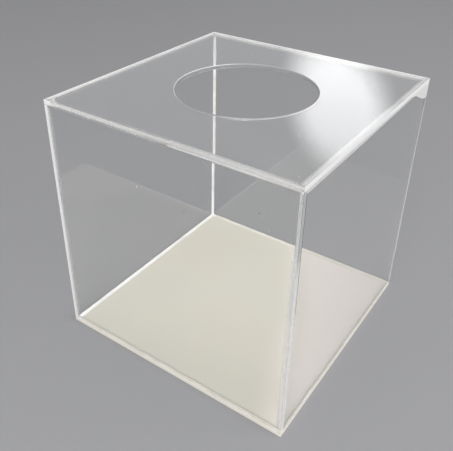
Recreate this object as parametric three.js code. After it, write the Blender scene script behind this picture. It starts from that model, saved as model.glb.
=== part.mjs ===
// Clear acrylic box with a round port in its top, bonded from flat sheets.
// Millimetres, +Z up. The origin is at the centre of the underside, and the front faces -Y.
import * as THREE from 'three';

// driving dimensions
const side = 250; // outside width, depth and height
const sheet = 4; // thickness of every sheet
const jointGap = 0.3; // room for cement between two bonded sheets
const portDiameter = 130; // round opening in the top
const beadLeg = 2.5; // how far a cement fillet runs out along each inside face
const beadTip = 0.2; // thickness of a fillet where it runs out
const slack = 0.05; // clearance that keeps the cement off the sheets it bonds
const portSegments = 96;
const beadArcSteps = 6;

// dimensions that follow
const half = side / 2;
const innerHalf = half - sheet;
const wallWidth = side - sheet - jointGap;
const wallHeight = side - 2 * (sheet + jointGap);
const beadRise = jointGap + beadLeg;
const quarterTurn = Math.PI / 2;

const part = new THREE.Group();

function acrylic(color, roughness, opacity) {
  return new THREE.MeshStandardMaterial({
    color,
    roughness,
    metalness: 0,
    opacity,
    transparent: opacity < 1,
  });
}

const clearSheet = () => acrylic(0xe6ecee, 0.05, 0.25);
const ivorySheet = () => acrylic(0xd6d1c2, 0.35, 1);
const cement = () => acrylic(0xf2f1ec, 0.5, 0.7);

function addMesh(parent, name, geometry, material) {
  const mesh = new THREE.Mesh(geometry, material);
  mesh.name = name;
  parent.add(mesh);
  return mesh;
}

// a group turned about the box's upright axis, to repeat a piece on each side
function addTurnedGroup(parent, quarters) {
  const group = new THREE.Group();
  group.rotation.z = quarters * quarterTurn;
  parent.add(group);
  return group;
}

// opaque base: a full square sheet that the walls stand on
function addBasePanel() {
  const geometry = new THREE.BoxGeometry(side, side, sheet);
  const panel = addMesh(part, 'base_panel', geometry, ivorySheet());
  panel.position.z = sheet / 2;
}

// Each wall runs past the one on its right and stops short of the one on its left,
// so all four are cut alike.
function addWalls() {
  ['front', 'right', 'back', 'left'].forEach((name, index) => {
    const geometry = new THREE.BoxGeometry(wallWidth, sheet, wallHeight);
    const group = addTurnedGroup(part, index);
    const wall = addMesh(group, `${name}_wall`, geometry, clearSheet());
    wall.position.set(half - wallWidth / 2, -half + sheet / 2, side / 2);
  });
}

// top: a full square sheet with the round port cut through its middle
function addTopPanel() {
  const outline = new THREE.Shape();
  outline.moveTo(-half, -half);
  outline.lineTo(half, -half);
  outline.lineTo(half, half);
  outline.lineTo(-half, half);
  outline.closePath();
  const port = new THREE.Path();
  port.absarc(0, 0, portDiameter / 2, 0, 2 * Math.PI, true);
  outline.holes.push(port);
  const geometry = new THREE.ExtrudeGeometry(outline, {
    depth: sheet,
    bevelEnabled: false,
    curveSegments: portSegments,
  });
  const panel = addMesh(part, 'top_panel', geometry, clearSheet());
  panel.position.z = side - sheet;
}

// Section of the cement in one joint: a thin film between two sheets, and a hollow fillet inside.
// x runs inwards from the outside of the box, and y away from the face that the film lies on.
function beadSection() {
  const section = new THREE.Shape();
  section.moveTo(2 * slack, slack);
  section.lineTo(sheet + beadLeg, slack);
  for (let step = 0; step <= beadArcSteps; step += 1) {
    const angle = -quarterTurn * (1 + step / beadArcSteps);
    section.lineTo(
      sheet + beadLeg + (beadLeg - slack - beadTip) * Math.cos(angle),
      beadRise + (beadRise - slack - beadTip) * Math.sin(angle),
    );
  }
  section.lineTo(sheet + slack, beadRise);
  section.lineTo(sheet + slack, jointGap - slack);
  section.lineTo(2 * slack, jointGap - slack);
  section.closePath();
  return section;
}

// Cement along one side of the box, its ends cut at 45 degrees to meet its neighbours.
// It lies along X at the front, with the face that its film lies on at z = 0.
function mitredBead() {
  const geometry = new THREE.ExtrudeGeometry(beadSection(), { depth: 1, bevelEnabled: false });
  const points = geometry.getAttribute('position');
  for (let index = 0; index < points.count; index += 1) {
    const inset = points.getX(index);
    const rise = points.getY(index);
    const reach = half - inset - slack;
    const end = points.getZ(index) > 0.5 ? reach : -reach;
    points.setXYZ(index, end, inset - half, rise);
  }
  geometry.computeVertexNormals();
  return geometry;
}

// cement between the walls and the base
function addBaseSeams() {
  ['front', 'right', 'back', 'left'].forEach((name, index) => {
    const group = addTurnedGroup(part, index);
    const seam = addMesh(group, `base_seam_${name}`, mitredBead(), cement());
    seam.position.z = sheet;
  });
}

// cement between the walls and the top: the base seams turned over, front to back
function addTopSeams() {
  const upturned = new THREE.Group();
  upturned.rotation.x = Math.PI;
  upturned.position.z = side - sheet;
  part.add(upturned);
  ['back', 'right', 'front', 'left'].forEach((name, index) => {
    addMesh(addTurnedGroup(upturned, index), `top_seam_${name}`, mitredBead(), cement());
  });
}

// Cement down the four upright corners, from the base seams to the top seams.
// Each film lies on the inside of one wall, against the end of the next.
function addCornerSeams() {
  const bottom = sheet + beadRise + 2 * slack;
  const length = side - 2 * bottom;
  const upright = new THREE.Matrix4().makeBasis(
    new THREE.Vector3(0, 1, 0),
    new THREE.Vector3(1, 0, 0),
    new THREE.Vector3(0, 0, -1),
  );
  ['front_left', 'front_right', 'back_right', 'back_left'].forEach((name, index) => {
    const geometry = new THREE.ExtrudeGeometry(beadSection(), {
      depth: length,
      bevelEnabled: false,
    });
    geometry.applyMatrix4(upright);
    const group = addTurnedGroup(part, index);
    const seam = addMesh(group, `corner_seam_${name}`, geometry, cement());
    seam.position.set(-innerHalf, -half, side - bottom);
  });
}

addBasePanel();
addWalls();
addTopPanel();
addBaseSeams();
addTopSeams();
addCornerSeams();

export default part;
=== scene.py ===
import math

import bmesh
import bpy
from mathutils import Matrix, Quaternion, Vector, noise


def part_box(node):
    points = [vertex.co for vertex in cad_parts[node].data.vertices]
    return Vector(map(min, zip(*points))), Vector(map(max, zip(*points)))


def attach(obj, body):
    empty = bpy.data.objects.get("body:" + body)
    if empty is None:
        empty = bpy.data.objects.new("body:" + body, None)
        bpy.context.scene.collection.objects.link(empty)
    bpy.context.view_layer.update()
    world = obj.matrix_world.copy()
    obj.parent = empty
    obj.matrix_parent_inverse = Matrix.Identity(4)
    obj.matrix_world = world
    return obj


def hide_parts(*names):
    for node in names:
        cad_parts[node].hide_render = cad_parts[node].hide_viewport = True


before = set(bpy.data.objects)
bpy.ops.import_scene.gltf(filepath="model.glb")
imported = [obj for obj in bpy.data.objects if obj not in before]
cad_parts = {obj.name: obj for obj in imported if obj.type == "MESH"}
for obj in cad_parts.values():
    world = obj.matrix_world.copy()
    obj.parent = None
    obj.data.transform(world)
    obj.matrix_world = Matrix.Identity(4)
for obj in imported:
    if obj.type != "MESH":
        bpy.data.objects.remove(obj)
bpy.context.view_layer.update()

mm = 0.001
baseLow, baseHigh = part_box("base_panel")
topLow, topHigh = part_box("top_panel")
side = baseHigh.x - baseLow.x
half = side / 2
sheet = baseHigh.z - baseLow.z
boxHeight = topHigh.z
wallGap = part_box("front_wall")[0].z - baseHigh.z  # room for cement between a wall and the base
portRadius = min(v.co.xy.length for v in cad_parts["top_panel"].data.vertices)
print("frame loaded: a box", round(side / mm), "mm wide, its port", round(2 * portRadius / mm), "mm across")


# small helpers for node trees

def addNode(tree, kind, inputs=None, **settings):
    node = tree.nodes.new(kind)
    for key, value in settings.items():
        setattr(node, key, value)
    for key, value in (inputs or {}).items():
        if isinstance(value, bpy.types.NodeSocket):
            tree.links.new(value, node.inputs[key])
        else:
            node.inputs[key].default_value = value
    return node


def doMath(tree, operation, first, second=0.0, third=0.0):
    inputs = {0: first, 1: second, 2: third}
    return addNode(tree, "ShaderNodeMath", inputs, operation=operation).outputs[0]


def doVectorMath(tree, operation, inputs):
    return addNode(tree, "ShaderNodeVectorMath", inputs, operation=operation).outputs


def clampMap(tree, value, low, high, outLow=0.0, outHigh=1.0):
    inputs = {"Value": value, "From Min": low, "From Max": high, "To Min": outLow, "To Max": outHigh}
    return addNode(tree, "ShaderNodeMapRange", inputs, interpolation_type="SMOOTHSTEP").outputs[0]


def mixColour(tree, factor, first, second):
    node = addNode(tree, "ShaderNodeMix", {0: factor}, data_type="RGBA")
    for index, colour in ((6, first), (7, second)):
        if isinstance(colour, bpy.types.NodeSocket):
            tree.links.new(colour, node.inputs[index])
        else:
            node.inputs[index].default_value = (*colour, 1.0)
    return node.outputs[2]


def mixValue(tree, factor, first, second):
    inputs = {0: factor, 2: first, 3: second}
    return addNode(tree, "ShaderNodeMix", inputs, data_type="FLOAT").outputs[0]


def addNoise(tree, place, scale, detail, roughness=0.5, bend=0.0):
    inputs = {
        "Vector": place,
        "Scale": scale,
        "Detail": detail,
        "Roughness": roughness,
        "Distortion": bend,
    }
    return addNode(tree, "ShaderNodeTexNoise", inputs).outputs["Fac"]


# the distance to the middle of each random cell, and a random value that is the same all over a cell
def addCells(tree, place, scale):
    cells = addNode(tree, "ShaderNodeTexVoronoi", {"Vector": place, "Scale": scale}).outputs
    chance = addNode(tree, "ShaderNodeSeparateColor", {0: cells["Color"]}).outputs[0]
    return cells["Distance"], chance


# noise along a line, read at one value
def addWave(tree, at, detail):
    inputs = {"W": at, "Scale": 1.0, "Detail": detail}
    return addNode(tree, "ShaderNodeTexNoise", inputs, noise_dimensions="1D").outputs[0]


def addBump(tree, strength, depth, height):
    inputs = {"Strength": strength, "Distance": depth, "Height": height}
    return addNode(tree, "ShaderNodeBump", inputs).outputs[0]


def splitAxes(tree, place):
    return addNode(tree, "ShaderNodeSeparateXYZ", {0: place}).outputs


def newTree(name, kind, inputs, outputs):
    tree = bpy.data.node_groups.new(name, kind)
    for direction, sockets in (("INPUT", inputs), ("OUTPUT", outputs)):
        for label, socketKind in sockets.items():
            socketType = "NodeSocket" + socketKind
            tree.interface.new_socket(name=label, in_out=direction, socket_type=socketType)
    return tree, tree.nodes.new("NodeGroupInput").outputs, tree.nodes.new("NodeGroupOutput").inputs


handlingSet = {
    "strokes": (  # two ways that the scratches run: a turn, and a squeeze along them
        ((0.5, 0.3, 0.9), (1.0, 0.03, 1.0)),
        ((1.1, 0.7, 2.2), (0.04, 1.0, 1.0)),
    ),
    "scratchBand": (0.715, 0.74),  # a narrower or higher band leaves fewer scratches
    "smudgeBand": (0.5, 0.72),
    "smudgeBend": 0.6,
    "speckFrom": 0.93,  # cells above this have a speck
    "speckSize": 0.1,
    "swellScale": 9.0,
}


# Marks that handling leaves on sheet plastic: long hair scratches, greasy smudges and dust specks.
def makeHandlingMarks():
    tree, given, result = newTree(
        "handlingMarks",
        "ShaderNodeTree",
        {"Vector": "Vector", "Scratch Scale": "Float", "Smudge Scale": "Float", "Speck Scale": "Float"},
        {"Scratches": "Float", "Smudges": "Float", "Specks": "Float", "Waviness": "Float"},
    )
    strokes = []
    for turn, stretch in handlingSet["strokes"]:
        turned = addNode(
            tree,
            "ShaderNodeMapping",
            {"Vector": given["Vector"], "Rotation": turn, "Scale": stretch},
            vector_type="TEXTURE",
        )
        squeezed = doVectorMath(tree, "MULTIPLY", {0: turned.outputs[0], 1: stretch})[0]
        hair = addNoise(tree, squeezed, given["Scratch Scale"], 2.0)
        strokes.append(clampMap(tree, hair, *handlingSet["scratchBand"]))
    tree.links.new(doMath(tree, "MAXIMUM", *strokes), result["Scratches"])

    smear = addNoise(tree, given["Vector"], given["Smudge Scale"], 5.0, bend=handlingSet["smudgeBend"])
    tree.links.new(clampMap(tree, smear, *handlingSet["smudgeBand"]), result["Smudges"])

    distance, chance = addCells(tree, given["Vector"], given["Speck Scale"])
    dotSize = clampMap(tree, chance, handlingSet["speckFrom"], 1.0, 0.0, handlingSet["speckSize"])
    tree.links.new(doMath(tree, "LESS_THAN", distance, dotSize), result["Specks"])

    swell = addNoise(tree, given["Vector"], handlingSet["swellScale"], 1.0)
    tree.links.new(swell, result["Waviness"])
    return tree


sawSet = {
    "lineRoughness": 0.7,
    "drawnOut": 0.02,  # share of the pattern's scale that is left along the lines
    "chipScale": 900.0,
    "chipBand": (0.64, 0.74),
}


# Marks of the saw on a cut edge. Across scales each axis, and is small on the one that the lines run along.
def makeSawMarks():
    tree, given, result = newTree(
        "sawMarks",
        "ShaderNodeTree",
        {"Vector": "Vector", "Across": "Vector", "Line Scale": "Float"},
        {"Lines": "Float", "Chips": "Float"},
    )
    drawnOut = doVectorMath(tree, "MULTIPLY", {0: given["Vector"], 1: given["Across"]})[0]
    lines = addNoise(tree, drawnOut, given["Line Scale"], 3.0, sawSet["lineRoughness"])
    tree.links.new(lines, result["Lines"])
    pits = addNoise(tree, given["Vector"], sawSet["chipScale"], 2.0)
    tree.links.new(clampMap(tree, pits, *sawSet["chipBand"]), result["Chips"])
    return tree


handlingMarks = makeHandlingMarks()
sawMarks = makeSawMarks()


def newMaterial(name):
    material = bpy.data.materials.new(name)
    material.use_nodes = True
    tree = material.node_tree
    tree.nodes.clear()
    place = addNode(tree, "ShaderNodeTexCoord").outputs["Object"]
    return material, tree, place


def addMarks(tree, group, inputs):
    return addNode(tree, "ShaderNodeGroup", inputs, node_tree=group).outputs


def addHandlingMarks(tree, place, look):
    scales = {
        "Scratch Scale": look["scratchScale"],
        "Smudge Scale": look["smudgeScale"],
        "Speck Scale": look["speckScale"],
    }
    return addMarks(tree, handlingMarks, {"Vector": place, **scales})


# saw marks on an edge whose lines run along one axis
def addSawMarks(tree, place, along, scale):
    across = tuple(sawSet["drawnOut"] if axis == along else 1.0 for axis in "XYZ")
    return addMarks(tree, sawMarks, {"Vector": place, "Across": across, "Line Scale": scale})


acrylicIndex = 1.49
white = (1.0, 1.0, 1.0)


def addSurface(tree, inputs):
    return addNode(tree, "ShaderNodeBsdfPrincipled", {"IOR": acrylicIndex, **inputs}).outputs[0]


def finishSolid(tree, surface):
    addNode(tree, "ShaderNodeOutputMaterial", {"Surface": surface})


clearLook = {
    "colour": (0.992, 0.996, 0.997),
    "passColour": (0.95, 0.955, 0.955),
    "speckColour": (0.8, 0.8, 0.78),
    "scratchScale": 90.0,
    "smudgeScale": 16.0,
    "speckScale": 130.0,
    "smudgeBlur": 0.035,
    "scratchBlur": 0.12,
    "speckBlur": 0.3,
    "scratchDepth": 0.02,
    "waviness": 0.05,
    "reliefDepth": 2 * mm,
}


# Light reaches what is behind clear sheet: rays from lamps and from dull surfaces pass straight through.
def finishClear(tree, surface):
    for rayKind in ("Is Shadow Ray", "Is Diffuse Ray"):
        path = addNode(tree, "ShaderNodeLightPath")
        passed = addNode(
            tree, "ShaderNodeBsdfTransparent", {"Color": (*clearLook["passColour"], 1.0)}
        )
        mixed = addNode(tree, "ShaderNodeMixShader", {0: path.outputs[rayKind]})
        tree.links.new(surface, mixed.inputs[1])
        tree.links.new(passed.outputs[0], mixed.inputs[2])
        surface = mixed.outputs[0]
    finishSolid(tree, surface)


def makeClearSheet():
    material, tree, place = newMaterial("clearSheet")
    marks = addHandlingMarks(tree, place, clearLook)
    blur = doMath(tree, "MULTIPLY", marks["Smudges"], clearLook["smudgeBlur"])
    blur = doMath(tree, "MULTIPLY_ADD", marks["Scratches"], clearLook["scratchBlur"], blur)
    blur = doMath(tree, "MULTIPLY_ADD", marks["Specks"], clearLook["speckBlur"], blur)
    relief = doMath(
        tree, "MULTIPLY_ADD", marks["Scratches"], -clearLook["scratchDepth"], marks["Waviness"]
    )
    glass = {
        "Base Color": mixColour(tree, marks["Specks"], clearLook["colour"], clearLook["speckColour"]),
        "Roughness": blur,
        "Transmission Weight": 1.0,
        "Normal": addBump(tree, clearLook["waviness"], clearLook["reliefDepth"], relief),
    }
    finishClear(tree, addSurface(tree, glass))
    return material


# Edges of the clear sheets. Sawn ones are as the saw left them, frosted white, and their eased arrises are
# duller. Fine ones were scraped after the saw and are half clear or better, with half clear arrises.
edgeSet = {"lineScale": 1800.0, "lineBand": (0.3, 0.7), "reliefDepth": 0.1 * mm}
sawnLook = {
    "colour": (0.97, 0.97, 0.96),
    "deepColour": (0.90, 0.905, 0.90),
    "transmission": 0.1,
    "relief": 0.06,
    "blur": (0.35, 0.65),
}
easedLook = {
    **sawnLook,
    "colour": (0.74, 0.72, 0.70),
    "deepColour": (0.68, 0.665, 0.645),
    "transmission": 0.2,
    "relief": 0.02,
}
dullLook = {
    **easedLook,
    "colour": (0.92, 0.92, 0.91),
    "deepColour": (0.84, 0.845, 0.84),
    "transmission": 0.5,
    "shade": 0.42,  # share of the colour that is left higher up
}
fineLook = {  # by the axis of the sheet's thickness
    "blur": {"X": (0.2, 0.3), "Y": (0.3, 0.4), "Z": (0.25, 0.35)},
    "transmission": {"X": 0.5, "Y": 0.5, "Z": 1.0},
    "shade": {"Y": 0.66},
    "relief": 0.01,
}
edgeShade = {"from": 165 * mm, "to": 200 * mm}  # heights


# keeps only a share of a colour high up, where less of the base shines into the edge
def shadeUpwards(tree, place, colour, shade):
    height = splitAxes(tree, place)["Z"]
    lifted = clampMap(tree, height, edgeShade["from"], edgeShade["to"], 1.0, shade)
    return doVectorMath(tree, "SCALE", {0: colour, "Scale": lifted})[0]


# flat is the axis of the sheet's thickness, which the saw lines run along
def makeSawnEdge(name, flat, look):
    material, tree, place = newMaterial(name + flat)
    marks = addSawMarks(tree, place, flat, edgeSet["lineScale"])
    colour = mixColour(tree, marks["Lines"], look["deepColour"], look["colour"])
    colour = mixColour(tree, marks["Chips"], colour, white)
    if "shade" in look:
        colour = shadeUpwards(tree, place, colour, look["shade"])
    frosted = {
        "Base Color": colour,
        "Roughness": clampMap(tree, marks["Lines"], *edgeSet["lineBand"], *look["blur"]),
        "Transmission Weight": look["transmission"],
        "Normal": addBump(tree, look["relief"], edgeSet["reliefDepth"], marks["Lines"]),
    }
    finishSolid(tree, addSurface(tree, frosted))
    return material


def makeFineEdge(flat):
    material, tree, place = newMaterial("fineEdge" + flat)
    marks = addSawMarks(tree, place, flat, edgeSet["lineScale"])
    colour = mixColour(tree, marks["Chips"], clearLook["colour"], white)
    if flat in fineLook["shade"]:
        colour = shadeUpwards(tree, place, colour, fineLook["shade"][flat])
    glass = {
        "Base Color": colour,
        "Roughness": clampMap(tree, marks["Lines"], *edgeSet["lineBand"], *fineLook["blur"][flat]),
        "Transmission Weight": fineLook["transmission"][flat],
        "Normal": addBump(tree, fineLook["relief"], edgeSet["reliefDepth"], marks["Lines"]),
    }
    finishClear(tree, addSurface(tree, glass))
    return material


bondedLook = {
    "colour": (0.93, 0.92, 0.9),
    "deepColour": (0.8, 0.81, 0.8),
    "patchScale": 60.0,
    "patchBand": (0.4, 0.7),
    "dull": (0.02, 0.04),  # opacity outside the patches and in them
    "blur": 0.5,
}


# Cement has the same index as the sheets, so light passes a bonded face unbent, and only dull patches show.
def makeBondedFace():
    material, tree, place = newMaterial("bondedFace")
    patches = addNoise(tree, place, bondedLook["patchScale"], 4.0)
    skin = {
        "Base Color": mixColour(tree, patches, bondedLook["deepColour"], bondedLook["colour"]),
        "Roughness": bondedLook["blur"],
        "Alpha": clampMap(tree, patches, *bondedLook["patchBand"], *bondedLook["dull"]),
    }
    finishSolid(tree, addSurface(tree, skin))
    return material


rimLook = {
    # both rim colours are grey painted shade, standing in for the dark seen in the port's wall
    "paintedShadeGrey": (0.27, 0.275, 0.28),
    "clear": (0.30, 0.305, 0.31),
    "lineScale": 600.0,
    "blur": (0.3, 0.36),
    "relief": 0.02,
    "transmission": 0.4,
    "arrisGrey": (0.5, 0.51, 0.51),
    "arrisLineScale": 300.0,
    "arrisLineBand": (0.2, 0.5),
    "arrisPatchy": (0.7, 1.0),
    "arrisBlur": 0.4,
    "paintedHighlight": (0.45, 0.9),  # distance to the side, in radii of the port, over which the painted highlight on the arris comes in
}


# The port is cut by a router and flamed: half clear, with fine lines down its wall, and its grey colour is
# painted shade.
def makePortRim():
    material, tree, place = newMaterial("portRim")
    marks = addSawMarks(tree, place, "Z", rimLook["lineScale"])
    glass = {
        # painted shade: the port's wall is coloured grey
        "Base Color": mixColour(tree, marks["Lines"], rimLook["paintedShadeGrey"], rimLook["clear"]),
        "Roughness": clampMap(tree, marks["Lines"], *edgeSet["lineBand"], *rimLook["blur"]),
        "Transmission Weight": rimLook["transmission"],
        "Normal": addBump(tree, rimLook["relief"], edgeSet["reliefDepth"], marks["Lines"]),
    }
    finishClear(tree, addSurface(tree, glass))
    return material


# The port's arrises carry a painted highlight: white on its left and right, and grey between.
def makePortArris():
    material, tree, place = newMaterial("portArris")
    marks = addSawMarks(tree, place, "Z", rimLook["arrisLineScale"])
    # painted highlight: the arris is painted white towards the port's left and right
    sideways = doMath(tree, "ABSOLUTE", splitAxes(tree, place)["X"])
    paintedHighlight = clampMap(tree, sideways, *(share * portRadius for share in rimLook["paintedHighlight"]))
    patchy = clampMap(tree, marks["Lines"], *rimLook["arrisLineBand"], *rimLook["arrisPatchy"])
    paintedHighlight = doMath(tree, "MULTIPLY", paintedHighlight, patchy)
    skin = {
        "Base Color": mixColour(tree, paintedHighlight, rimLook["arrisGrey"], white),
        "Roughness": rimLook["arrisBlur"],
    }
    finishSolid(tree, addSurface(tree, skin))
    return material


ivoryLook = {
    "warm": (0.80, 0.755, 0.64),
    "cool": (0.79, 0.76, 0.65),
    "cloudScale": 11.0,
    "cloudRoughness": 0.55,
    "cloudBand": (0.38, 0.62),
    "slant": 0.5,  # how far aslant the painted shade and the pink with its painted light lie, where 0 is square to the box
    "frontShade": 0.87,
    "frontFade": 1.36,  # half widths of the box over which the painted shade at the front right fades
    "pinkPaintedLight": (0.99, 0.905, 0.82),
    "pinkPaintedLightBand": (78 * mm, 128 * mm),
    "pinkPaintedLightScale": 5.0,
    "pinkPaintedLightWaver": 80 * mm,
    # the cut edge's paler colour is partly its sawn finish and partly painted light on the upright faces
    "edge": (0.87, 0.83, 0.76),
    "edgeShare": 0.75,
    "speckColour": (0.45, 0.42, 0.36),
    "scratchScale": 70.0,
    "smudgeScale": 14.0,
    "speckScale": 150.0,
    "blur": 0.28,
    "edgeBlur": 0.6,
    "smudgeBlur": 0.18,
    "scratchBlur": 0.15,
    "waviness": 0.08,
    "reliefDepth": 0.5 * mm,
}


# opaque ivory sheet with a faint cloudiness, pinker and paler towards the right, partly a real pink tint and
# partly painted light, and darker towards the front right with painted shade
def makeIvory(name, isEdge):
    material, tree, place = newMaterial(name)
    marks = addHandlingMarks(tree, place, ivoryLook)
    clouds = addNoise(tree, place, ivoryLook["cloudScale"], 4.0, ivoryLook["cloudRoughness"])
    pinkPaintedLightNoise = addNoise(tree, place, ivoryLook["pinkPaintedLightScale"], 2.0)
    cloudy = clampMap(tree, clouds, *ivoryLook["cloudBand"])
    colour = mixColour(tree, cloudy, ivoryLook["cool"], ivoryLook["warm"])
    axes = splitAxes(tree, place)
    # painted shade: the base colour is darkened towards the front right
    fromFront = doMath(tree, "MULTIPLY_ADD", axes["X"], -ivoryLook["slant"], axes["Y"])
    fadeFrom = -ivoryLook["frontFade"] * half
    nearer = clampMap(tree, fromFront, fadeFrom, 0.0, ivoryLook["frontShade"], 1.0)
    colour = doVectorMath(tree, "SCALE", {0: colour, "Scale": nearer})[0]
    # painted light with a real pink tint: the base is painted paler and pinker towards the right
    aslant = doMath(tree, "MULTIPLY_ADD", axes["Y"], ivoryLook["slant"], axes["X"])
    pinkPaintedLightReach = doMath(tree, "MULTIPLY_ADD", pinkPaintedLightNoise, ivoryLook["pinkPaintedLightWaver"], aslant)
    colour = mixColour(tree, clampMap(tree, pinkPaintedLightReach, *ivoryLook["pinkPaintedLightBand"]), colour, ivoryLook["pinkPaintedLight"])
    # the cut edges are paler: partly their sawn finish, partly painted light on these upright faces
    if isEdge:
        colour = mixColour(tree, ivoryLook["edgeShare"], colour, ivoryLook["edge"])
    colour = mixColour(tree, marks["Specks"], colour, ivoryLook["speckColour"])
    leastBlur = ivoryLook["edgeBlur" if isEdge else "blur"]
    blur = doMath(tree, "MULTIPLY_ADD", marks["Smudges"], ivoryLook["smudgeBlur"], leastBlur)
    blur = doMath(tree, "MULTIPLY_ADD", marks["Scratches"], ivoryLook["scratchBlur"], blur)
    plastic = {
        "Base Color": colour,
        "Roughness": blur,
        "Normal": addBump(tree, ivoryLook["waviness"], ivoryLook["reliefDepth"], marks["Waviness"]),
    }
    finishSolid(tree, addSurface(tree, plastic))
    return material


cementLook = {
    "milky": (0.97, 0.965, 0.955),
    "creamy": (0.93, 0.90, 0.87),
    "creamScale": 14.0,
    "creamBand": (0.4, 0.65),
    "clear": (0.84, 0.84, 0.82),
    "clearBelow": 0.8,  # haze under which the colour turns towards clear
    "solid": (0.03, 1.0),  # opacity from no haze to full haze
    "ivory": (0.87, 0.83, 0.74),
    "ivoryShare": 0.9,
    "ivoryRise": (3 * mm, 6 * mm),  # how far above the base the ivory that shines into the cement fades
    "whiteLeft": (7 * mm, 12 * mm),  # how near to the left side the cement stays white
    "frothScale": 1300.0,
    "frothRoughness": 0.6,
    "frothBand": (0.35, 0.65),
    "frothiness": 0.06,
    "bubbleScale": 800.0,
    "bubbleShare": 0.2,
    "bubbleSize": 0.3,
    "bubbleClear": 0.35,
    "relief": 0.06,
    "reliefDepth": 0.3 * mm,
    "blurBand": (0.3, 0.7),
    "blur": (0.12, 0.35),
}


# Cured cement: clear where it wetted the joint well, milky and bubbly elsewhere, as the haze attribute says.
def makeCement():
    material, tree, place = newMaterial("curedCement")
    haze = addNode(tree, "ShaderNodeAttribute", attribute_name="haze").outputs["Fac"]
    froth = addNoise(tree, place, cementLook["frothScale"], 3.0, cementLook["frothRoughness"])
    frothiness = cementLook["frothiness"]
    frothy = clampMap(tree, froth, *cementLook["frothBand"], -frothiness, frothiness)
    distance, chance = addCells(tree, place, cementLook["bubbleScale"])
    bubbleReach = clampMap(
        tree, chance, 1.0 - cementLook["bubbleShare"], 1.0, 0.0, cementLook["bubbleSize"]
    )
    bubble = doMath(tree, "LESS_THAN", distance, bubbleReach)
    kept = doMath(tree, "MULTIPLY_ADD", bubble, -cementLook["bubbleClear"], 1.0)
    cloudy = doMath(tree, "ADD", haze, doMath(tree, "MULTIPLY", frothy, haze))
    cloudy = doMath(tree, "MULTIPLY", cloudy, kept)

    cream = clampMap(tree, addNoise(tree, place, cementLook["creamScale"], 2.0), *cementLook["creamBand"])
    milk = mixColour(tree, cream, cementLook["milky"], cementLook["creamy"])
    milkiness = clampMap(tree, cloudy, 0.0, cementLook["clearBelow"])
    colour = mixColour(tree, milkiness, cementLook["clear"], milk)
    axes = splitAxes(tree, place)
    fades = (baseHigh.z + rise for rise in cementLook["ivoryRise"])
    isLow = clampMap(tree, axes["Z"], *fades, cementLook["ivoryShare"], 0.0)
    offLeft = clampMap(tree, axes["X"], *(inset - half for inset in cementLook["whiteLeft"]))
    colour = mixColour(tree, doMath(tree, "MULTIPLY", isLow, offLeft), colour, cementLook["ivory"])
    body = {
        "Base Color": colour,
        "Roughness": clampMap(tree, froth, *cementLook["blurBand"], *cementLook["blur"]),
        "Alpha": clampMap(tree, cloudy, 0.0, 1.0, *cementLook["solid"]),
        "Normal": addBump(tree, cementLook["relief"], cementLook["reliefDepth"], froth),
    }
    finishSolid(tree, addSurface(tree, body))
    return material


clearSheet = makeClearSheet()
sawnEdges = {axis: makeSawnEdge("sawnEdge", axis, sawnLook) for axis in "XYZ"}
easedEdges = {axis: makeSawnEdge("easedEdge", axis, easedLook) for axis in "XYZ"}
dullEdges = {axis: makeSawnEdge("dullEdge", axis, dullLook) for axis in "XY"}
fineEdges = {axis: makeFineEdge(axis) for axis in "XYZ"}
bondedFace = makeBondedFace()
portRim = makePortRim()
portArris = makePortArris()
ivory = makeIvory("ivorySheet", False)
ivoryEdge = makeIvory("ivorySawnEdge", True)
curedCement = makeCement()
print("materials made")


# pieces

def addPiece(name, mesh, replaced=()):
    piece = bpy.data.objects.new(name, mesh)
    bpy.context.scene.collection.objects.link(piece)
    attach(piece, "root")
    if replaced:
        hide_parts(*replaced)


def meshFromShape(name, shape, materials):
    mesh = bpy.data.meshes.new(name)
    shape.to_mesh(mesh)
    shape.free()
    for material in materials:
        mesh.materials.append(material)
    return mesh


sheetCut = {"arris": 0.35 * mm, "arrisSteps": 2, "sharp": math.radians(60)}  # arris is an eased edge's width
squarely = 0.999  # a normal's share along an axis that a flat face has and an eased one hasn't


# eases the sharp edges of a sheet, which are those between faces that meet squarely
def easeEdges(shape):
    bmesh.ops.bevel(
        shape,
        geom=[edge for edge in shape.edges if edge.calc_face_angle(0.0) > sheetCut["sharp"]],
        offset=sheetCut["arris"],
        segments=sheetCut["arrisSteps"],
        profile=0.5,
        affect="EDGES",
        clamp_overlap=True,
    )
    bmesh.ops.recalc_face_normals(shape, faces=shape.faces)


def plateShape(low, high, cutAt=None):
    shape = bmesh.new()
    bmesh.ops.create_cube(shape, size=1)
    middle = (low + high) / 2
    for vertex in shape.verts:
        vertex.co = middle + Vector(c * s for c, s in zip(vertex.co, high - low))
    if cutAt:
        everything = shape.verts[:] + shape.edges[:] + shape.faces[:]
        bmesh.ops.bisect_plane(shape, geom=everything, plane_co=cutAt, plane_no=cutAt)
    easeEdges(shape)
    return shape


exposedEnds = {  # where each wall's sawn end shows, and whether it was left coarse
    "front_wall": ((1, 0), False),
    "right_wall": ((0, 1), False),
    "back_wall": ((-1, 0), True),
    "left_wall": ((0, -1), True),
}


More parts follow.
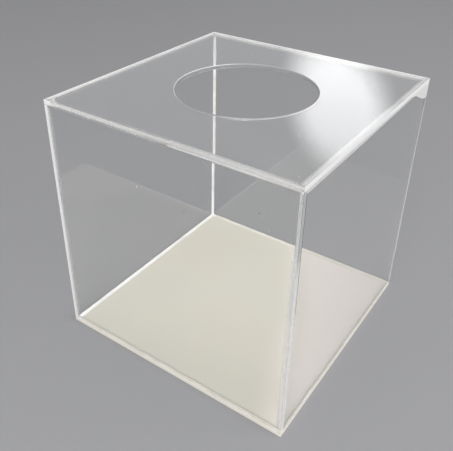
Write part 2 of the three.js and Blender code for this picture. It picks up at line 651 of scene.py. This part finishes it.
# A wall's long faces are clear. Its bonded edges, and the strip that the next wall butts against, pass light
# unbent.
def makeWall(node):
    low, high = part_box(node)
    wayOut, isCoarse = exposedEnds[node]
    wayOut = Vector((*wayOut, 0))
    middle = (low + high) / 2
    inward = Vector((-round(middle.x / half), -round(middle.y / half), 0))
    axis = "X" if inward.x else "Y"
    ends = (sawnEdges if isCoarse else fineEdges)[axis]
    arrises = (easedEdges if isCoarse else dullEdges)[axis]
    materials = (clearSheet, ends, bondedFace, arrises)
    clearSlot, endSlot, bondedSlot, arrisSlot = range(len(materials))
    stripStart = half - sheet
    shape = plateShape(low, high, wayOut * stripStart)
    for face in shape.faces:
        spot = face.calc_center_median()
        facingIn = face.normal.dot(inward)
        atEnd = spot.dot(wayOut) > half - 1.5 * sheetCut["arris"]  # the sawn end and its arrises
        isFlat = face.normal.dot(wayOut) > squarely
        inStrip = spot.dot(wayOut) > stripStart and facingIn > 0.9
        onFace = abs(facingIn) > squarely
        if atEnd and (isFlat or not onFace):
            face.material_index = endSlot if isFlat else arrisSlot
        else:
            isOutside = facingIn < -0.1
            face.material_index = clearSlot if isOutside or (onFace and not inStrip) else bondedSlot
    name = node + "_sheet"
    addPiece(name, meshFromShape(name, shape, materials), (node,))


portCut = {"steps": 192}  # a multiple of 8, so that a step meets each corner of the square
frostLine = {  # how deep the frost reaches down the front edge of the top, from left to right
    "left": 1.2 * mm,
    "middle": 2.4 * mm,
    "right": 2.8 * mm,
    "waver": 0.3 * mm,
    "wavesPerMetre": 60,
    "corner": 9 * mm,  # the edge is frosted all the way down this near to the front left corner
}


def frostDepth(way):
    share = min(max(way.x / side + 0.5, 0), 1)
    if share < 0.5:
        depth = frostLine["left"] + (frostLine["middle"] - frostLine["left"]) * share * 2
    else:
        depth = frostLine["middle"] + (frostLine["right"] - frostLine["middle"]) * (share * 2 - 1)
    return depth + frostLine["waver"] * noise.noise(way * frostLine["wavesPerMetre"])


def makeTop():
    steps = portCut["steps"]
    shape = bmesh.new()

    def addRing(reach, isSquare, z, isFrostLine=False):
        ring = []
        for step in range(steps):
            turn = 2 * math.pi * step / steps
            way = Vector((math.cos(turn), math.sin(turn), 0))
            spot = way * (reach / max(abs(way.x), abs(way.y)) if isSquare else reach)
            spot.z = z - frostDepth(spot) if isFrostLine else z
            ring.append(shape.verts.new(spot))
        return ring

    rings = [
        addRing(portRadius, False, topHigh.z),
        addRing(half, True, topHigh.z),
        addRing(half, True, topHigh.z, True),
        addRing(half, True, topLow.z),
        addRing(half - sheet, True, topLow.z),  # the walls are bonded outside this ring
        addRing(portRadius, False, topLow.z),
    ]
    for index, first in enumerate(rings):
        second = rings[(index + 1) % len(rings)]
        for step in range(steps):
            following = (step + 1) % steps
            shape.faces.new((first[step], second[step], second[following], first[following]))
    bmesh.ops.recalc_face_normals(shape, faces=shape.faces)
    easeEdges(shape)

    materials = (
        clearSheet, sawnEdges["Z"], fineEdges["Z"], portRim, bondedFace, portArris, easedEdges["Z"]
    )
    clearSlot, sawnSlot, fineSlot, rimSlot, bondedSlot, arrisSlot, easedSlot = range(len(materials))
    for face in shape.faces:
        spot = face.calc_center_median()
        reach = max(abs(spot.x), abs(spot.y))
        onPort = spot.xy.length < portRadius + 2 * sheetCut["arris"]
        isLevel = abs(face.normal.z) > squarely
        slot = clearSlot
        if onPort and not isLevel:
            slot = rimSlot if abs(face.normal.z) < 0.01 else arrisSlot
        elif face.normal.z < -squarely and reach > half - sheet:
            slot = bondedSlot
        elif not isLevel:
            onFront = spot.y < -half + 2 * sheetCut["arris"]
            isLow = spot.z < topHigh.z - frostDepth(spot)
            slot = sawnSlot
            if onFront and spot.x > frostLine["corner"] - half:
                slot = fineSlot if isLow else easedSlot
        face.material_index = slot
        face.smooth = onPort
    mesh = meshFromShape("top_panel_sheet", shape, materials)
    addPiece("top_panel_sheet", mesh, ("top_panel",))


def makeBase():
    shape = plateShape(baseLow, baseHigh)
    for face in shape.faces:
        face.material_index = 0 if abs(face.normal.z) > squarely else 1
    mesh = meshFromShape("base_panel_sheet", shape, (ivory, ivoryEdge))
    addPiece("base_panel_sheet", mesh, ("base_panel",))


for wallName in exposedEnds:
    makeWall(wallName)
makeTop()
makeBase()
print("sheets cut")


# Cement seams. Each follows one joint: a thin film between two sheets, and an uneven fillet inside.
seamShape = {
    "leg": 2.5 * mm,  # most that the fillet runs out along each inside face
    "tip": 0.2 * mm,  # thickness left where the fillet runs out
    "slack": 0.05 * mm,  # room between cement and sheet
    "arcSteps": 8,
    "steps": 220,
    "unevenness": 0.15,
    "grain": 70.0,  # waves of unevenness in a metre
    "grainBand": (0.3, 0.7),
    "seedStep": 7.3,  # each seam's waves start this much further on
}
seamHaze = {  # how milky the film and the fillet of each seam are, from 0 to 1
    "base_seam_left": (0.8, 1.0),
    "base_seam_back": (0.6, 1.0),
    "base_seam_front": (0.9, 0.65),
    "base_seam_right": (0.9, 0.7),
    "top_seam_left": (1.0, 0.1),
    "top_seam_back": (1.0, 0.6),
    "top_seam_front": (1.0, 1.0),
    "top_seam_right": (1.0, 1.0),
    "corner_seam_front_left": (0.5, 0.0),
    "corner_seam_front_right": (0.92, 0.1),
    "corner_seam_back_right": (0.52, 0.0),
    "corner_seam_back_left": (1.0, 1.0),
}
# Most seams are milky from end to end. On others the milkiness ends at some share of the length, a faint part
# of it goes on to where it fades out, and the tail is milky again.
wholeHaze = {"Haze End": 2.0, "Faint Share": 0.0, "Faint End": 2.0, "Tail Start": 2.0}
brokenHaze = {
    "top_seam_front": {"Haze End": 0.475, "Faint Share": 0.35, "Faint End": 0.75, "Tail Start": 0.945},
    "corner_seam_front_right": {"Haze End": -1.0, "Faint Share": 0.2, "Tail Start": 0.22},
}
hazeFade = {"end": 0.02, "faint": 0.15, "tail": 0.03}  # shares of the length over which each fades
hazePatches = {"wavesPerMetre": 30.0, "seed": 50.0, "band": (0.3, 0.65), "share": (0.8, 1.0)}


# inset and rise of the section: inset from the outside of the box, rise from the face the film lies on
def seamOutline():
    slack, leg, tip = (seamShape[key] for key in ("slack", "leg", "tip"))
    rise = wallGap + leg
    points = [(2 * slack, slack), (sheet + leg, slack)]
    for step in range(seamShape["arcSteps"] + 1):
        turn = -math.pi / 2 * (1 + step / seamShape["arcSteps"])
        points.append((
            sheet + leg + (leg - slack - tip) * math.cos(turn),
            rise + (rise - slack - tip) * math.sin(turn),
        ))
    points += [(sheet + slack, rise), (sheet + slack, wallGap - slack), (2 * slack, wallGap - slack)]
    return points


# Sweeps the section along X. A mitre of 1 cuts the ends at 45 degrees and 0 leaves them square.
def makeSeamTree():
    tree, given, result = newTree(
        "cementSeam",
        "GeometryNodeTree",
        {
            "Geometry": "Geometry",
            "Length": "Float",
            "Steps": "Int",
            "Mitre": "Float",
            "Corner Inset": "Float",
            "Unevenness": "Float",
            "Grain": "Float",
            "Seed": "Float",
            "Film Haze": "Float",
            "Fillet Haze": "Float",
            **{label: "Float" for label in wholeHaze},
            "Material": "Material",
        },
        {"Geometry": "Geometry"},
    )
    halfLength = doMath(tree, "MULTIPLY", given["Length"], 0.5)
    start = addNode(tree, "ShaderNodeCombineXYZ", {"X": doMath(tree, "MULTIPLY", halfLength, -1.0)})
    end = addNode(tree, "ShaderNodeCombineXYZ", {"X": halfLength})
    line = addNode(
        tree, "GeometryNodeCurvePrimitiveLine", {"Start": start.outputs[0], "End": end.outputs[0]}
    )
    path = addNode(
        tree, "GeometryNodeResampleCurve", {"Curve": line.outputs[0], "Count": given["Steps"]}
    )
    outline = addNode(tree, "GeometryNodeMeshToCurve", {0: given["Geometry"]})
    swept = addNode(
        tree,
        "GeometryNodeCurveToMesh",
        {"Curve": path.outputs[0], "Profile Curve": outline.outputs[0], "Fill Caps": True},
    )
    along, inset, rise = splitAxes(tree, addNode(tree, "GeometryNodeInputPosition").outputs[0])

    # the fillet shrinks unevenly towards the corner, and the ends are mitred
    waveAt = doMath(tree, "MULTIPLY_ADD", along, given["Grain"], given["Seed"])
    shrink = clampMap(tree, addWave(tree, waveAt, 3.0), *seamShape["grainBand"])
    keep = doMath(tree, "SUBTRACT", 1.0, doMath(tree, "MULTIPLY", shrink, given["Unevenness"]))
    inFillet = doMath(tree, "GREATER_THAN", inset, given["Corner Inset"])
    scale = mixValue(tree, inFillet, 1.0, keep)
    beyond = doMath(tree, "SUBTRACT", inset, given["Corner Inset"])
    newInset = doMath(tree, "MULTIPLY_ADD", beyond, scale, given["Corner Inset"])
    newRise = doMath(tree, "MULTIPLY", rise, scale)
    cut = doMath(tree, "DIVIDE", doMath(tree, "MULTIPLY", newInset, given["Mitre"]), halfLength)
    newAlong = doMath(tree, "MULTIPLY", along, doMath(tree, "SUBTRACT", 1.0, cut))
    moved = addNode(tree, "ShaderNodeCombineXYZ", {"X": newAlong, "Y": newInset, "Z": newRise})
    shaped = addNode(
        tree, "GeometryNodeSetPosition", {"Geometry": swept.outputs[0], "Position": moved.outputs[0]}
    )

    # the haze attribute, which makes the cement milky
    share = doMath(tree, "ADD", doMath(tree, "DIVIDE", along, given["Length"]), 0.5)
    toEnd = doMath(tree, "SUBTRACT", given["Haze End"], share)
    toFaintEnd = doMath(tree, "SUBTRACT", given["Faint End"], share)
    pastTail = doMath(tree, "SUBTRACT", share, given["Tail Start"])
    going = clampMap(tree, toEnd, 0.0, hazeFade["end"])
    faint = clampMap(tree, toFaintEnd, 0.0, hazeFade["faint"])
    tail = clampMap(tree, pastTail, 0.0, hazeFade["tail"])
    zone = doMath(tree, "MAXIMUM", going, doMath(tree, "MULTIPLY", faint, given["Faint Share"]))
    zone = doMath(tree, "MAXIMUM", zone, tail)
    patchSeed = doMath(tree, "ADD", given["Seed"], hazePatches["seed"])
    patchAt = doMath(tree, "MULTIPLY_ADD", along, hazePatches["wavesPerMetre"], patchSeed)
    patchy = clampMap(tree, addWave(tree, patchAt, 2.0), *hazePatches["band"], *hazePatches["share"])
    milk = mixValue(tree, inFillet, given["Film Haze"], given["Fillet Haze"])
    level = doMath(tree, "MULTIPLY", doMath(tree, "MULTIPLY", milk, patchy), zone)
    stored = addNode(
        tree,
        "GeometryNodeStoreNamedAttribute",
        {"Geometry": shaped.outputs[0], "Name": "haze", "Value": level},
        data_type="FLOAT",
        domain="POINT",
    )
    real = addNode(tree, "GeometryNodeRealizeInstances", {"Geometry": stored.outputs[0]})
    finished = addNode(
        tree, "GeometryNodeSetMaterial", {"Geometry": real.outputs[0], "Material": given["Material"]}
    )
    tree.links.new(finished.outputs[0], result["Geometry"])
    return tree


def setInputs(modifier, values):
    for item in modifier.node_group.interface.items_tree:
        if item.item_type == "SOCKET" and item.in_out == "INPUT" and item.name in values:
            modifier[item.identifier] = values[item.name]


# runs a geometry tree on a mesh and returns the plain mesh that it makes
def grow(name, source, tree, values):
    holder = bpy.data.objects.new(name, source)
    bpy.context.scene.collection.objects.link(holder)
    modifier = holder.modifiers.new(tree.name, "NODES")
    modifier.node_group = tree
    setInputs(modifier, values)
    depsgraph = bpy.context.evaluated_depsgraph_get()
    grown = bpy.data.meshes.new_from_object(
        holder.evaluated_get(depsgraph), preserve_all_data_layers=True, depsgraph=depsgraph
    )
    bpy.data.objects.remove(holder)
    return grown


seamTree = makeSeamTree()
# the sweep lays the section's own axes the other way round, so the outline is drawn turned over
outlinePoints = [(-inset, -rise, 0) for inset, rise in seamOutline()]
outlineEdges = [(i, (i + 1) % len(outlinePoints)) for i in range(len(outlinePoints))]
outlineMesh = bpy.data.meshes.new("seamOutline")
outlineMesh.from_pydata(outlinePoints, outlineEdges, [])

quarterTurns = {  # how far round the box each joint stands from the front one or the front left one
    "front": 0,
    "right": 1,
    "back": 2,
    "left": 3,
    "front_left": 0,
    "front_right": 1,
    "back_right": 2,
    "back_left": 3,
}


# where a seam stands: the front one as it is swept, and the others a number of quarter turns on
def seamPlace(node):
    kind, _, where = node.partition("_seam_")
    turned = Matrix.Rotation(quarterTurns[where] * math.pi / 2, 4, "Z")
    onFront = Matrix.Translation((0, -half, 0))
    if kind == "base":
        return turned @ Matrix.Translation((0, 0, baseHigh.z)) @ onFront
    if kind == "top":
        upsideDown = Matrix.Rotation(math.pi, 4, "Y") @ onFront
        return turned @ Matrix.Translation((0, 0, topLow.z)) @ upsideDown
    upright = Matrix((
        (0, 0, 1, -half + sheet),
        (0, 1, 0, -half),
        (-1, 0, 0, boxHeight / 2),
        (0, 0, 0, 1),
    ))
    return turned @ upright


def makeSeam(index, node):
    low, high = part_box(node)
    length = max(high - low)
    isUpright = node.startswith("corner")
    filmHaze, filletHaze = seamHaze[node]
    mesh = grow(
        node + "_cement",
        outlineMesh,
        seamTree,
        {
            "Length": length if isUpright else side - 2 * seamShape["slack"],
            "Steps": seamShape["steps"],
            "Mitre": 0.0 if isUpright else 1.0,
            "Corner Inset": sheet,
            "Unevenness": seamShape["unevenness"],
            "Grain": seamShape["grain"],
            "Seed": seamShape["seedStep"] * index,
            "Film Haze": filmHaze,
            "Fillet Haze": filletHaze,
            **wholeHaze,
            **brokenHaze.get(node, {}),
            "Material": curedCement,
        },
    )
    mesh.transform(seamPlace(node))
    addPiece(node + "_cement", mesh, (node,))


for seamIndex, seamNode in enumerate(seamHaze):
    makeSeam(seamIndex, seamNode)
print("seams run")


# cement that ran out of the joints and cured
spillSet = {
    "webReach": (6 * mm, 5 * mm, 4 * mm),  # along the front, along the left side, down
    "webHollow": 1.15,
    "webSteps": 10,
    "webSlack": 0.04 * mm,  # room between the web and the sheets
    "lump": 0.15,  # unevenness of a drop
    "lumpScale": 1.5,
    "drops": (  # place of each, and its reach along the axes, in millimetres
        ((-72.1, -124.0, 246.6), (0.9, 0.6, 0.6)),
        ((-25.9, -120.6, 197.0), (0.8, 0.25, 0.35)),
        ((123.8, -123.9, 244.8), (0.9, 0.8, 1.1)),
        ((119.7, -120.3, 4.5), (1.2, 1.0, 0.7)),
    ),
    "air": ((-119.0, -124.3, 245.3), (0.8, 0.5, 0.8)),
}
bloomSet = {
    "skin": 0.06 * mm,
    "patches": (  # depth below the right wall's outer face, and an outline of distance along it and height
        (0.04, (
            (78.0, 245.9),
            (124.7, 245.9),
            (124.7, 231.0),
            (121.0, 231.2),
            (114.0, 233.0),
            (104.0, 236.8),
            (97.0, 240.2),
            (91.0, 243.2),
            (86.0, 244.2),
        )),
        (3.85, (
            (-120.5, 245.9),
            (120.0, 245.9),
            (120.0, 243.3),
            (60.0, 242.9),
            (10.0, 242.5),
            (-20.0, 241.8),
            (-60.0, 241.6),
            (-120.5, 241.4),
        )),
    ),
}
airLook = {"dark": (0.2, 0.2, 0.2), "light": (0.3, 0.3, 0.29), "mottleScale": 900.0, "blur": 0.2}


# a piece of cement that is milky all over
def addMilkyPiece(name, shape):
    bmesh.ops.recalc_face_normals(shape, faces=shape.faces)
    mesh = meshFromShape(name, shape, (curedCement,))
    haze = mesh.attributes.new("haze", "FLOAT", "POINT")
    haze.data.foreach_set("value", [1.0] * len(mesh.vertices))
    addPiece(name, mesh)


# adds a lumpy ball to a shape, its place and reach in millimetres
def addDrop(shape, place, reach):
    made = bmesh.ops.create_icosphere(shape, subdivisions=3, radius=1)["verts"]
    for vertex in made:
        lump = 1 + spillSet["lump"] * noise.noise(vertex.co * spillSet["lumpScale"] + Vector(place))
        vertex.co = (Vector(c * r for c, r in zip(vertex.co, reach)) * lump + Vector(place)) * mm
    for face in shape.faces:
        face.smooth = True


# a web in the inner corner under the top: hollow between the three sheets that it wets
def addWeb(shape):
    steps = spillSet["webSteps"]
    along, aside, down = spillSet["webReach"]
    hollow = spillSet["webHollow"]
    inner = half - sheet - spillSet["webSlack"]
    corner = Vector((-inner, -inner, topLow.z - spillSet["webSlack"]))
    rows = []
    for i in range(steps + 1):
        row = []
        for j in range(steps + 1 - i):
            a, b, c = (max(share, 0) / steps for share in (i, j, steps - i - j))
            offset = Vector((along * a ** hollow, aside * b ** hollow, -down * c ** hollow))
            row.append(shape.verts.new(corner + offset))
        rows.append(row)
    for i in range(steps):
        for j in range(steps - i):
            shape.faces.new((rows[i][j], rows[i + 1][j], rows[i][j + 1]))
            if j < steps - i - 1:
                shape.faces.new((rows[i + 1][j], rows[i + 1][j + 1], rows[i][j + 1]))
    tip = shape.verts.new(corner)
    border = [rows[i][0] for i in range(steps + 1)]
    border += [rows[steps - i][i] for i in range(1, steps + 1)]
    border += [rows[0][steps - i] for i in range(1, steps + 1)]
    for first, second in zip(border, border[1:]):
        shape.faces.new((tip, first, second))


def makeSpills():
    shape = bmesh.new()
    for place, reach in spillSet["drops"]:
        addDrop(shape, place, reach)
    addWeb(shape)
    addMilkyPiece("cement_spills", shape)


# milky blooms that the cement drew into the right wall below the top
def makeBlooms():
    shape = bmesh.new()
    for depth, outline in bloomSet["patches"]:
        across = half - depth * mm
        flat = shape.faces.new([shape.verts.new((across, y * mm, z * mm)) for y, z in outline])
        raised = bmesh.ops.extrude_face_region(shape, geom=[flat])["geom"]
        for vertex in raised:
            if isinstance(vertex, bmesh.types.BMVert):
                vertex.co.x -= bloomSet["skin"]
    addMilkyPiece("cement_bloom", shape)


def makeTrappedAir():
    material, tree, place = newMaterial("trappedAir")
    mottle = addNoise(tree, place, airLook["mottleScale"], 2.0)
    shade = mixColour(tree, mottle, airLook["dark"], airLook["light"])
    skin = addNode(tree, "ShaderNodeBsdfPrincipled", {"Base Color": shade, "Roughness": airLook["blur"]})
    finishSolid(tree, skin.outputs[0])
    shape = bmesh.new()
    addDrop(shape, *spillSet["air"])
    addPiece("trapped_air", meshFromShape("trapped_air", shape, (material,)))


makeSpills()
makeBlooms()
makeTrappedAir()
print("spills set")


# camera, floor and lamps

cameraSet = {
    "place": (1.0759, -1.7248, 1.7917),  # in widths of the box
    "turn": (59.146, -0.731, 34.794),
    "lens": 47.69,
    "sensor": 36,
    "shift": (0.0111, -0.0811),
    "clip": (0.01, 50),
}


def addCamera():
    data = bpy.data.cameras.new("camera")
    data.sensor_width = cameraSet["sensor"]
    data.lens = cameraSet["lens"]
    data.shift_x, data.shift_y = cameraSet["shift"]
    data.clip_start, data.clip_end = cameraSet["clip"]
    camera = bpy.data.objects.new("camera", data)
    camera.location = Vector(cameraSet["place"]) * side
    camera.rotation_euler = [math.radians(angle) for angle in cameraSet["turn"]]
    bpy.context.scene.collection.objects.link(camera)
    bpy.context.scene.camera = camera


floorSet = {"colour": (0.335, 0.335, 0.345), "blur": 0.75, "reach": 12.0, "gap": 0.2 * mm}


def addFloor():
    reach = floorSet["reach"]
    corners = [(x * reach, y * reach, 0) for x, y in ((-1, -1), (1, -1), (1, 1), (-1, 1))]
    mesh = bpy.data.meshes.new("floor")
    mesh.from_pydata(corners, [], [(0, 1, 2, 3)])
    floor = bpy.data.objects.new("floor", mesh)
    floor.location.z = -floorSet["gap"]
    bpy.context.scene.collection.objects.link(floor)
    material, tree, _ = newMaterial("paleFloor")
    matte = addNode(
        tree,
        "ShaderNodeBsdfPrincipled",
        {"Base Color": (*floorSet["colour"], 1.0), "Roughness": floorSet["blur"]},
    )
    finishSolid(tree, matte.outputs[0])
    mesh.materials.append(material)


lampSet = {
    "key": {"place": (0.9, -2.1, 1.9), "size": 1.8, "glow": 9.5, "soft": 0.3},
    "fill": {"place": (2.4, 0.9, 1.2), "size": 1.6, "glow": 5.5, "soft": 0.3},
    "window": {
        "place": (-0.655, 1.80, 1.06),
        "size": 0.5,
        "stretch": 1.55,
        "spin": 28.8,
        "glow": 2.05,
        "soft": 0.6,
    },
}
roomGlow = {"colour": (0.985, 0.985, 1.0), "strength": 0.5}


# An oval lamp whose glow fades out towards its rim, over the share of its half width that soft gives.
def addLamp(name, place, size, glow, soft, stretch=1.0, spin=0.0):
    data = bpy.data.lights.new(name, "AREA")
    data.shape = "ELLIPSE"
    data.size = size
    data.size_y = size * stretch
    data.energy = math.pi * size * data.size_y / 4 * math.pi  # makes glow the brightness of the lamp's face
    data.use_nodes = True
    tree = data.node_tree
    tree.nodes.clear()
    spread = addNode(tree, "ShaderNodeNewGeometry").outputs["Parametric"]
    centred = doVectorMath(tree, "SUBTRACT", {0: spread, 1: (0.5, 0.5, 0.0)})[0]
    flat = doVectorMath(tree, "MULTIPLY", {0: centred, 1: (1.0, 1.0, 0.0)})[0]
    away = doVectorMath(tree, "LENGTH", {0: flat})["Value"]
    level = clampMap(tree, away, 0.5 * (1 - soft), 0.5, glow, 0.0)
    emission = addNode(tree, "ShaderNodeEmission", {"Strength": level})
    addNode(tree, "ShaderNodeOutputLight", {0: emission.outputs[0]})
    lamp = bpy.data.objects.new(name, data)
    lamp.location = place
    aim = (Vector((0, 0, boxHeight)) - lamp.location).to_track_quat("-Z", "Y")
    lamp.rotation_euler = (aim @ Quaternion((0, 0, 1), math.radians(spin))).to_euler()
    bpy.context.scene.collection.objects.link(lamp)


def addLamps():
    for name, values in lampSet.items():
        addLamp(name, **values)
    world = bpy.data.worlds.new("room")
    world.use_nodes = True
    back = world.node_tree.nodes["Background"]
    back.inputs["Color"].default_value = (*roomGlow["colour"], 1.0)
    back.inputs["Strength"].default_value = roomGlow["strength"]
    bpy.context.scene.world = world


addCamera()
addFloor()
addLamps()
lightBounces = 48  # light crosses many clear faces
scene = bpy.context.scene
scene.view_settings.view_transform = "Standard"
scene.cycles.caustics_reflective = False
scene.cycles.caustics_refractive = False
scene.cycles.max_bounces = lightBounces
scene.cycles.glossy_bounces = lightBounces
scene.cycles.transmission_bounces = lightBounces
scene.cycles.transparent_max_bounces = lightBounces
print("scene lit")
